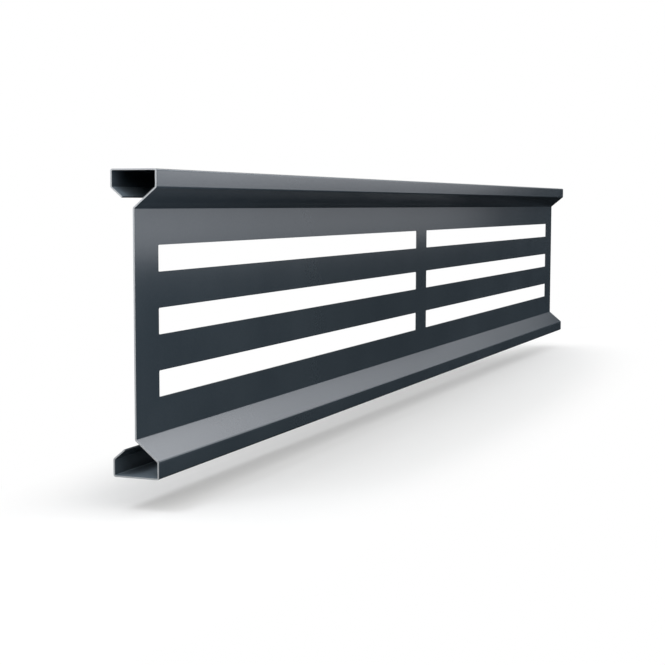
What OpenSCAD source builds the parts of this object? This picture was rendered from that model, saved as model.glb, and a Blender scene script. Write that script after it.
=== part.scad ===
// Slotted fence panel, folded from one sheet of steel.
// X runs along the panel, the front faces look along -Y and Z is up.
// The origin is at the middle of the flat seat that the panel stands on.

/* [Panel] */
// Length between the two cut ends
panel_length = 1800; // [600:10:3000]
// Height from the lower seat to the upper seat
panel_height = 300; // [220:5:600]
// Depth from the front faces to the rear faces
panel_depth = 50; // [36:1:90]

/* [Folded section] */
// Thickness of the sheet
sheet = 1.5; // [1:0.1:3]
// Inside radius of every fold
fold_radius = 1; // [0.5:0.25:3]
// Height of the upright faces above and below the sloping flanges
face_height = 18; // [10:0.5:40]
// Slope of the flanges and of the rear lips, in degrees from level
slope = 39.5; // [25:0.5:60]
// Width of a rear lip, from its free edge to the corner of the rear face
lip_width = 15.5; // [8:0.5:22]

/* [Slots] */
// Slots side by side
slot_columns = 2; // [1:1:6]
// Slots one above another
slot_rows = 3; // [1:1:5]
// Height of one slot
slot_height = 26.5; // [8:0.5:40]
// Solid sheet between an end of the panel and the nearest slots
end_margin = 48; // [15:0.5:150]
// Solid sheet between slots that stand side by side
stile_width = 48; // [15:0.5:150]
// Radius of the corners of a slot
slot_corner = 1.5; // [0.5:0.25:4]

/* [Hidden] */

// Every round part is a true arc
$fn = 64;
// How far a cutting shape reaches past what it cuts
past = 1;

// The web stands in the middle of the depth
web_front = (panel_depth - sheet) / 2;
flange_width = web_front / cos(slope);
flange_rise = web_front * tan(slope);
web_height = panel_height - 2 * (face_height + flange_rise);

// A sloping fold turns the sheet from upright to the slope
sloping_turn = 90 - slope;

// How far a fold reaches along a leg from its sharp corner, on the outside and on the inside of the fold
function outer_reach(turn) = (fold_radius + sheet) * tan(turn / 2);
function inner_reach(turn) = fold_radius * tan(turn / 2);

// The flat legs between the folds, from the free edge of a lip to the web
lip_leg = lip_width - outer_reach(sloping_turn);
face_leg = face_height - outer_reach(sloping_turn) - outer_reach(90);
seat_leg = panel_depth - 2 * outer_reach(90);
flange_leg = flange_width - outer_reach(sloping_turn) - inner_reach(sloping_turn);
web_leg = web_height - 2 * inner_reach(sloping_turn);

// The whole strip, from the free edge of the upper lip to the free edge of the lower lip
half_legs = [lip_leg, face_leg, seat_leg, face_leg, flange_leg];
half_turns = [sloping_turn, 90, 90, sloping_turn];
legs = concat(half_legs, [web_leg], reversed(half_legs));
turns = concat(half_turns, [-sloping_turn, -sloping_turn], reversed(half_turns));

// The slots share out the web with equal bars between them
slot_length = (panel_length - 2 * end_margin - (slot_columns - 1) * stile_width) / slot_columns;
bar_height = (web_height - slot_rows * slot_height) / (slot_rows + 1);
web_bottom = face_height + flange_rise;

function reversed(list) = [for (i = [len(list) - 1 : -1 : 0]) list[i]];

// A fold about the origin, which starts straight below it and turns to the left
module fold(turn) {
    outer = fold_radius + sheet;
    intersection() {
        difference() {
            circle(outer);
            circle(fold_radius);
        }
        translate([0, -outer]) square(outer);
        rotate(turn) translate([-outer, -outer]) square(outer);
    }
}

// The strip from leg i onwards: a flat leg along +X, the fold at its end, then the rest
module strip(i = 0) {
    square([legs[i], sheet]);
    if (i < len(turns)) {
        turn = turns[i];
        inward = turn > 0;
        centre = [legs[i], inward ? sheet + fold_radius : -fold_radius];
        translate(centre) {
            mirror([0, inward ? 0 : 1]) fold(abs(turn));
            rotate(turn) translate([0, -centre[1]]) strip(i + 1);
        }
    }
}

// The section of the sheet, with the front faces on the Y axis and the lower seat on the X axis
module section() {
    rear_corner = [panel_depth, panel_height - face_height];
    lip_edge = rear_corner - lip_width * [cos(slope), sin(slope)];
    translate(lip_edge) rotate(slope) strip();
}

// The outline of one slot, from its lower left corner
module slot_outline() {
    translate([slot_corner, 0]) square([slot_length - 2 * slot_corner, slot_height]);
    translate([0, slot_corner]) square([slot_length, slot_height - 2 * slot_corner]);
    for (x = [slot_corner, slot_length - slot_corner], z = [slot_corner, slot_height - slot_corner])
        translate([x, z]) circle(slot_corner);
}

// The tools that cut all the slots through the web
module slot_cuts() {
    for (column = [0 : slot_columns - 1], row = [0 : slot_rows - 1])
        translate([
            end_margin + column * (slot_length + stile_width),
            web_front + sheet + past,
            web_bottom + bar_height + row * (slot_height + bar_height),
        ])
            rotate([90, 0, 0]) linear_extrude(sheet + 2 * past) slot_outline();
}

// The folded sheet: rails above and below, and the slotted web between them
module fence_panel() {
    color("#3a4249")
        translate([-panel_length / 2, -panel_depth / 2, 0])
            difference() {
                rotate([90, 0, 90]) linear_extrude(panel_length) section();
                slot_cuts();
            }
}

fence_panel();
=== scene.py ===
import math

import bmesh
import bpy
from mathutils import Matrix, Vector


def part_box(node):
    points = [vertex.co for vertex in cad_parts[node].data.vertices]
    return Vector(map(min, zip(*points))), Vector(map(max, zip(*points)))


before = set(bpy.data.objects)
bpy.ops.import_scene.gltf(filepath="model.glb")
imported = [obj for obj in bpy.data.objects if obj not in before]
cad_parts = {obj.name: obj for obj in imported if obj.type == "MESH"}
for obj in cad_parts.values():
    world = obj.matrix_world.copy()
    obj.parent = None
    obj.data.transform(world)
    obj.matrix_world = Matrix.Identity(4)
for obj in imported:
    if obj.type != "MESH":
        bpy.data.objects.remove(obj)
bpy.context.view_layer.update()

# The fence panel: one sheet of galvanised steel with six long slots cut in it, folded on a press
# brake into an open channel along the top and another along the bottom, then powder coated.
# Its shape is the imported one, so this section makes only its finish.
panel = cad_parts["fence_panel"]
panel_low, panel_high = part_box("fence_panel")
half_length = (panel_high.x - panel_low.x) / 2
half_depth = (panel_high.y - panel_low.y) / 2
half_height = (panel_high.z - panel_low.z) / 2
# From a channel's seat: the end of its upright face, the end of its flange, and its middle line
face_height = 0.018
channel_height = 0.045
channel_middle = 0.011
# How far a face looks out from a channel's middle line. Minus is inwards, and between these two
# values the outside of the sheet gives way to its inside.
inner_range = (-0.0005, -0.002)
# How deep the cut ends go, and how far the wear reaches from a fold
cut_depth = 0.0004
worn_reach = 0.003

# Satin powder coat in anthracite grey: polyester powder melted onto the steel. To the eye it is a
# smooth, faintly bluish dark grey with a soft sheen and a shallow orange peel in its highlights.
# The coat is slightly paler on the outside of the folds, and thin and pale inside the channels,
# where little powder reaches. On what faces up there, the extra paleness is painted light, as if lit
# through the open ends. Where the sheet was cut off the coat is gone, which leaves bare zinc, half
# metal and half its own dull white bloom.
coat_dark = "#363f46"
coat_light = "#3e474e"
coat_worn = "#4d565d"
pale_coat_and_painted_light = "#808d97"
bare_zinc = "#d3d7da"
worn_share = 0.5
sheen_smooth = 0.13
sheen_dull = 0.17
zinc_metallic = 0.5
zinc_roughness = 0.5
# Uneven patches 180 mm wide, and the mottling of the powder. Real grains are 0.05 mm and the
# waves of the orange peel 2 mm, too fine to show, so both are drawn coarser: 1.6 mm and 6 mm.
cloud_size = 0.18
grain_size = 0.0016
grain_share = 0.35
tone_range = (0.45, 0.9)
peel_size = 0.006
peel_depth = 0.0001
peel_strength = 0.15
# The share of the thin coat on an inner face that doesn't look up, and the upward part of a face's
# normal between which that share grows to 1. That growth is painted light: up-facing inner faces
# are made paler, as if lit from above.
side_paleness = 0.1
painted_light_upward_range = (0.2, 0.7)


def linear(hex_colour):
    """An sRGB hex colour as the linear colour that a shader takes."""
    parts = [int(hex_colour[i:i + 2], 16) / 255 for i in (1, 3, 5)]
    return [p / 12.92 if p <= 0.04045 else ((p + 0.055) / 1.055) ** 2.4 for p in parts] + [1]


def add(tree, kind, settings=None, links=None, **options):
    """Adds a node: its options, the values of its sockets, and what is linked to them."""
    node = tree.nodes.new(kind)
    for name, value in options.items():
        setattr(node, name, value)
    for name, value in (settings or {}).items():
        node.inputs[name].default_value = value
    for name, source in (links or {}).items():
        tree.links.new(source, node.inputs[name])
    return node


coat = bpy.data.materials.new("anthracite_powder_coat")
coat.use_nodes = True
tree = coat.node_tree
tree.nodes.clear()

# The place on the panel: along it, and in its section from the middle of its height
place = add(tree, "ShaderNodeTexCoord").outputs["Object"]
axes = add(tree, "ShaderNodeSeparateXYZ", links={0: place})
along = add(tree, "ShaderNodeMath", links={0: axes.outputs["X"]}, operation="ABSOLUTE")
across = add(tree, "ShaderNodeMath", links={0: axes.outputs["Y"]}, operation="ABSOLUTE")
middle = add(
    tree, "ShaderNodeMath", {1: half_height}, {0: axes.outputs["Z"]}, operation="SUBTRACT"
)
up = add(tree, "ShaderNodeMath", links={0: middle.outputs[0]}, operation="ABSOLUTE")
section = add(tree, "ShaderNodeCombineXYZ", links={"X": across.outputs[0], "Y": up.outputs[0]})

# The two outer folds of each upright face, where the coat is worn
near_fold = []
for fold_height in (half_height, half_height - face_height):
    gap = add(
        tree, "ShaderNodeVectorMath", {1: (half_depth, fold_height, 0)},
        {0: section.outputs[0]}, operation="DISTANCE",
    )
    near_fold.append(add(
        tree, "ShaderNodeMapRange", {"From Min": worn_reach, "From Max": 0},
        {"Value": gap.outputs["Value"]},
    ).outputs[0])
folds = add(
    tree, "ShaderNodeMath", links={0: near_fold[0], 1: near_fold[1]}, operation="MAXIMUM"
)
rubbed = add(
    tree, "ShaderNodeMath", {1: worn_share}, {0: folds.outputs[0]}, operation="MULTIPLY"
)

# The coat's own tone, from the patches and the mottling
cloud = add(
    tree, "ShaderNodeTexNoise", {"Scale": 1 / cloud_size, "Detail": 3, "Roughness": 0.55},
    {"Vector": place},
)
grain = add(
    tree, "ShaderNodeTexNoise", {"Scale": 1 / grain_size, "Detail": 1}, {"Vector": place}
)
tone = add(
    tree, "ShaderNodeMath", {1: grain_share},
    {0: grain.outputs["Fac"], 2: cloud.outputs["Fac"]}, operation="MULTIPLY_ADD",
)
spread = add(
    tree, "ShaderNodeMapRange", {"From Min": tone_range[0], "From Max": tone_range[1]},
    {"Value": tone.outputs[0]},
)
coated = add(
    tree, "ShaderNodeMix", {6: linear(coat_dark), 7: linear(coat_light)},
    {0: spread.outputs[0]}, data_type="RGBA",
)
folded = add(
    tree, "ShaderNodeMix", {7: linear(coat_worn)}, {0: rubbed.outputs[0], 6: coated.outputs[2]},
    data_type="RGBA",
)

# The inside of the channels: what looks towards a channel's middle line. The coat there is thin and
# pale, and on faces that look up the paleness is painted light from above.
side = add(tree, "ShaderNodeMath", links={0: middle.outputs[0]}, operation="SIGN")
beyond = add(
    tree, "ShaderNodeMath", {1: half_height - channel_middle}, {0: up.outputs[0]},
    operation="SUBTRACT",
)
outward_z = add(
    tree, "ShaderNodeMath", links={0: beyond.outputs[0], 1: side.outputs[0]}, operation="MULTIPLY"
)
outward = add(
    tree, "ShaderNodeCombineXYZ", links={"Y": axes.outputs["Y"], "Z": outward_z.outputs[0]}
)
normal = add(tree, "ShaderNodeNewGeometry").outputs["Normal"]
facing = add(
    tree, "ShaderNodeVectorMath", links={0: outward.outputs[0], 1: normal},
    operation="DOT_PRODUCT",
)
inner_side = add(
    tree, "ShaderNodeMapRange", {"From Min": inner_range[0], "From Max": inner_range[1]},
    {"Value": facing.outputs["Value"]},
)
in_channel = add(
    tree, "ShaderNodeMath", {1: half_height - channel_height}, {0: up.outputs[0]},
    operation="GREATER_THAN",
)
inside = add(
    tree, "ShaderNodeMath", links={0: inner_side.outputs[0], 1: in_channel.outputs[0]},
    operation="MULTIPLY",
)
# Painted light: inside the channels, what faces up is made paler, as if lit through the open ends
tilt = add(tree, "ShaderNodeSeparateXYZ", links={0: normal})
painted_light_from_above = add(
    tree, "ShaderNodeMapRange",
    {"From Min": painted_light_upward_range[0], "From Max": painted_light_upward_range[1], "To Min": side_paleness},
    {"Value": tilt.outputs["Z"]},
)
thin_coat_and_painted_light = add(
    tree, "ShaderNodeMath", links={0: inside.outputs[0], 1: painted_light_from_above.outputs[0]},
    operation="MULTIPLY",
)
coat_and_painted_light = add(
    tree, "ShaderNodeMix", {7: linear(pale_coat_and_painted_light)}, {0: thin_coat_and_painted_light.outputs[0], 6: folded.outputs[2]},
    data_type="RGBA",
)

# The cut ends
cut_end = add(
    tree, "ShaderNodeMapRange",
    {"From Min": half_length - cut_depth, "From Max": half_length - cut_depth / 2},
    {"Value": along.outputs[0]},
)
colour = add(
    tree, "ShaderNodeMix", {7: linear(bare_zinc)}, {0: cut_end.outputs[0], 6: coat_and_painted_light.outputs[2]},
    data_type="RGBA",
)
metal = add(
    tree, "ShaderNodeMath", {1: zinc_metallic}, {0: cut_end.outputs[0]}, operation="MULTIPLY"
)
sheen = add(
    tree, "ShaderNodeMapRange", {"To Min": sheen_smooth, "To Max": sheen_dull},
    {"Value": cloud.outputs["Fac"]},
)
roughness = add(
    tree, "ShaderNodeMapRange", {"To Max": zinc_roughness},
    {"Value": cut_end.outputs[0], "To Min": sheen.outputs[0]},
)
peel = add(
    tree, "ShaderNodeTexNoise", {"Scale": 1 / peel_size, "Detail": 1}, {"Vector": place}
)
bump = add(
    tree, "ShaderNodeBump", {"Strength": peel_strength, "Distance": peel_depth},
    {"Height": peel.outputs["Fac"]},
)
shader = add(
    tree, "ShaderNodeBsdfPrincipled", {"IOR": 1.5},
    {
        "Base Color": colour.outputs[2], "Metallic": metal.outputs[0],
        "Roughness": roughness.outputs[0], "Normal": bump.outputs[0],
    },
)
add(tree, "ShaderNodeOutputMaterial", links={"Surface": shader.outputs[0]})
panel.material_slots[0].material = coat

# The studio floor: a broad sheet of white paper, with three fingers of air under the panel.
# It takes the panel's soft shadow near by and runs out to plain white further off.
air_gap = 0.034
floor_radius = 9
# Where mirrored rays begin to see the backdrop behind the panel, and where they see all of it
backdrop_start = 0.5
backdrop_full = 1.2
# The oval in which the shadow shows, along the panel and across it, and the share of it that
# shows the shadow in full
shadow_reach = (1.6, 0.256)
shadow_middle = (-0.21, -0.042)
shadow_full = 0.5


def shows_backdrop(tree, behind):
    """1 for a ray that has to see the white backdrop: from the camera, or mirrored from behind."""
    rays = add(tree, "ShaderNodeLightPath")
    mirrored = add(
        tree, "ShaderNodeMath",
        links={0: rays.outputs["Is Glossy Ray"], 1: rays.outputs["Is Transmission Ray"]},
        operation="MAXIMUM",
    )
    from_behind = add(
        tree, "ShaderNodeMath", links={0: mirrored.outputs[0], 1: behind}, operation="MULTIPLY"
    )
    return add(
        tree, "ShaderNodeMath",
        links={0: rays.outputs["Is Camera Ray"], 1: from_behind.outputs[0]}, operation="MAXIMUM",
    ).outputs[0]


studio_floor = bpy.data.meshes.new("studio_floor")
sheet = bmesh.new()
bmesh.ops.create_grid(
    sheet, x_segments=1, y_segments=1, size=floor_radius,
    matrix=Matrix.Translation((0, 0, -air_gap)),
)
sheet.to_mesh(studio_floor)
sheet.free()
floor = bpy.data.objects.new("studio_floor", studio_floor)
bpy.context.scene.collection.objects.link(floor)

# Matt white paper. It shows its own white and the shadow to the camera, and the same to mirrored
# rays behind the panel; to all other light it is dark, so that nothing is thrown up from below.
paper_white = "#f7f7f6"
paper_unlit = "#070707"
paper = bpy.data.materials.new("white_paper_sweep")
paper.use_nodes = True
tree = paper.node_tree
tree.nodes.clear()
place = add(tree, "ShaderNodeTexCoord").outputs["Object"]
axes = add(tree, "ShaderNodeSeparateXYZ", links={0: place})
behind = add(
    tree, "ShaderNodeMapRange", {"From Min": backdrop_start, "From Max": backdrop_full},
    {"Value": axes.outputs["Y"]},
)
oval = add(
    tree, "ShaderNodeVectorMath",
    {
        1: (1 / shadow_reach[0], 1 / shadow_reach[1], 0),
        2: (-shadow_middle[0] / shadow_reach[0], -shadow_middle[1] / shadow_reach[1], 0),
    },
    {0: place}, operation="MULTIPLY_ADD",
)
reach = add(tree, "ShaderNodeVectorMath", links={0: oval.outputs[0]}, operation="LENGTH")
far = add(
    tree, "ShaderNodeMapRange", {"From Min": shadow_full, "From Max": 1},
    {"Value": reach.outputs["Value"]}, interpolation_type="SMOOTHSTEP",
)
lit_paper = add(tree, "ShaderNodeBsdfDiffuse", {"Color": linear(paper_white)})
plain_white = add(tree, "ShaderNodeEmission", {"Strength": 1})
sweep = add(
    tree, "ShaderNodeMixShader",
    links={0: far.outputs[0], 1: lit_paper.outputs[0], 2: plain_white.outputs[0]},
)
dim_paper = add(tree, "ShaderNodeBsdfDiffuse", {"Color": linear(paper_unlit)})
surface = add(
    tree, "ShaderNodeMixShader",
    links={0: shows_backdrop(tree, behind.outputs[0]), 1: dim_paper.outputs[0], 2: sweep.outputs[0]},
)
add(tree, "ShaderNodeOutputMaterial", links={"Surface": surface.outputs[0]})
studio_floor.materials.append(paper)

# The studio round it: white where the camera looks past the panel, and elsewhere a soft white
# dome, brightest low in front. It starts just above the floor, but well up at the far end, where
# the room is dark.
front_level = 2.05
rear_level = 0.8
top_level = 0.55
dark_end_height = 0.35
# Each range is in parts of a direction of length 1: towards the rear, towards the far end, and up
behind_range = (0.1, 0.3)
far_end_range = (0.5, 0.85)
horizon_range = (0.05, 0.25)
overhead_range = (0.7, 0.85)
world = bpy.data.worlds.new("studio")
bpy.context.scene.world = world
world.use_nodes = True
tree = world.node_tree
tree.nodes.clear()
direction = add(tree, "ShaderNodeTexCoord").outputs["Generated"]
axes = add(tree, "ShaderNodeSeparateXYZ", links={0: direction})
behind = add(
    tree, "ShaderNodeMapRange", {"From Min": behind_range[0], "From Max": behind_range[1]},
    {"Value": axes.outputs["Y"]},
)
raised = add(
    tree, "ShaderNodeMapRange",
    {"From Min": far_end_range[0], "From Max": far_end_range[1], "To Max": dark_end_height},
    {"Value": axes.outputs["X"]},
)
above = add(
    tree, "ShaderNodeMath", links={0: axes.outputs["Z"], 1: raised.outputs[0]},
    operation="SUBTRACT",
)
rise = add(
    tree, "ShaderNodeMapRange", {"From Min": horizon_range[0], "From Max": horizon_range[1]},
    {"Value": above.outputs[0]}, interpolation_type="SMOOTHSTEP",
)
overhead = add(
    tree, "ShaderNodeMapRange", {"From Min": overhead_range[0], "From Max": overhead_range[1]},
    {"Value": above.outputs[0]}, interpolation_type="SMOOTHSTEP",
)
sides = add(
    tree, "ShaderNodeMapRange",
    {"From Min": -1, "From Max": 1, "To Min": front_level, "To Max": rear_level},
    {"Value": axes.outputs["Y"]},
)
level = add(
    tree, "ShaderNodeMix", {3: top_level}, {0: overhead.outputs[0], 2: sides.outputs[0]}
)
glow = add(
    tree, "ShaderNodeMath", links={0: rise.outputs[0], 1: level.outputs[0]}, operation="MULTIPLY"
)
dome = add(tree, "ShaderNodeBackground", {"Color": (1, 1, 1, 1)}, {"Strength": glow.outputs[0]})
white = add(tree, "ShaderNodeBackground", {"Color": (1, 1, 1, 1), "Strength": 1})
surface = add(
    tree, "ShaderNodeMixShader",
    links={0: shows_backdrop(tree, behind.outputs[0]), 1: dome.outputs[0], 2: white.outputs[0]},
)
add(tree, "ShaderNodeOutputWorld", links={"Surface": surface.outputs[0]})

# The front strips: long lamps along the front, one above another, which the upright faces mirror.
# Two are for the web, one for the front face above it and one for the fold at the very top.
# They fade along their length. A short one carries them on towards the near end.
strip_start = 1.2
strip_distance = 1.2
lamp_tint = (0.97, 0.99, 1.05)


def softbox(name, place, aim, width, height, radiance):
    """A flat soft lamp at place, facing aim, faintly cool. Its radiance is what its face measures."""
    data = bpy.data.lights.new(name, "AREA")
    data.shape = "RECTANGLE"
    data.size = width
    data.size_y = height
    data.color = lamp_tint
    data.energy = radiance * math.pi * width * height
    lamp = bpy.data.objects.new(name, data)
    lamp.location = place
    lamp.rotation_euler = (Vector(aim) - Vector(place)).to_track_quat("-Z", "Y").to_euler()
    lamp.visible_camera = False
    bpy.context.scene.collection.objects.link(lamp)
    return lamp


def grade(lamp, axis, power, level):
    """Makes a lamp's radiance level times a power of its own place on an axis, in metres."""
    lamp.data.use_nodes = True
    tree = lamp.data.node_tree
    spot = add(tree, "ShaderNodeNewGeometry")
    axes = add(tree, "ShaderNodeSeparateXYZ", links={0: spot.outputs["Position"]})
    raised = add(tree, "ShaderNodeMath", {1: power}, {0: axes.outputs[axis]}, operation="POWER")
    glow = add(tree, "ShaderNodeMath", {1: level}, {0: raised.outputs[0]}, operation="MULTIPLY")
    tree.links.new(glow.outputs[0], tree.nodes["Emission"].inputs["Strength"])


for name, low, high, end, level in (
    ("web_strip_low", 0.12, 0.24, 4.7, 1.95),
    ("web_strip_high", 0.24, 0.34, 4.7, 1.35),
    ("face_strip", 0.34, 0.45, 5.0, 3.9),
    ("fold_strip", 0.45, 1.0, 5.0, 2.8),
):
    centre = ((strip_start + end) / 2, -strip_distance, (low + high) / 2)
    facing = (centre[0], 0, centre[2])
    strip = softbox(name, centre, facing, end - strip_start, high - low, radiance=1)
    grade(strip, "X", power=-1, level=level)
softbox(
    "near_strip", place=(0.9, -strip_distance, 0.285), aim=(0.9, 0, 0.285),
    width=0.6, height=0.33, radiance=1.35,
)

# The far card: a tall upright card beyond the far end, brighter towards its top, whose light rakes
# along the sloping flanges.
far_card = softbox(
    "far_card", place=(3.4, -0.75, 1.7), aim=(0, -0.75, 1.7), width=2.0, height=2.2, radiance=1
)
grade(far_card, "Z", power=1.55, level=0.54)

# The near end: a small box above and behind it, that lights the cut ends and reaches into the
# channels, and a card on the floor in front that throws light up under the flange. The faces
# don't mirror the card.
softbox(
    "near_end_box", place=(-1.5, 0.3, 1.2), aim=(-0.95, 0, 0.02),
    width=0.5, height=0.5, radiance=5.0,
)
floor_card = softbox(
    "near_end_card", place=(-1.05, -0.5, -0.033), aim=(-1.05, -0.5, 1),
    width=0.4, height=0.3, radiance=7.0,
)
floor_card.visible_glossy = False

# The camera: a long lens, low and close to the near end, looking along the panel's front.
camera_place = (-2.10528, -0.67588, 0.26692)
camera_turn = (84.839, -0.157, -68.637)
camera_data = bpy.data.cameras.new("camera")
camera_data.sensor_width = 36
camera_data.lens = 77.184
camera = bpy.data.objects.new("camera", camera_data)
camera.location = camera_place
camera.rotation_euler = [math.radians(angle) for angle in camera_turn]
bpy.context.scene.collection.objects.link(camera)
bpy.context.scene.camera = camera
bpy.context.scene.view_settings.view_transform = "Standard"
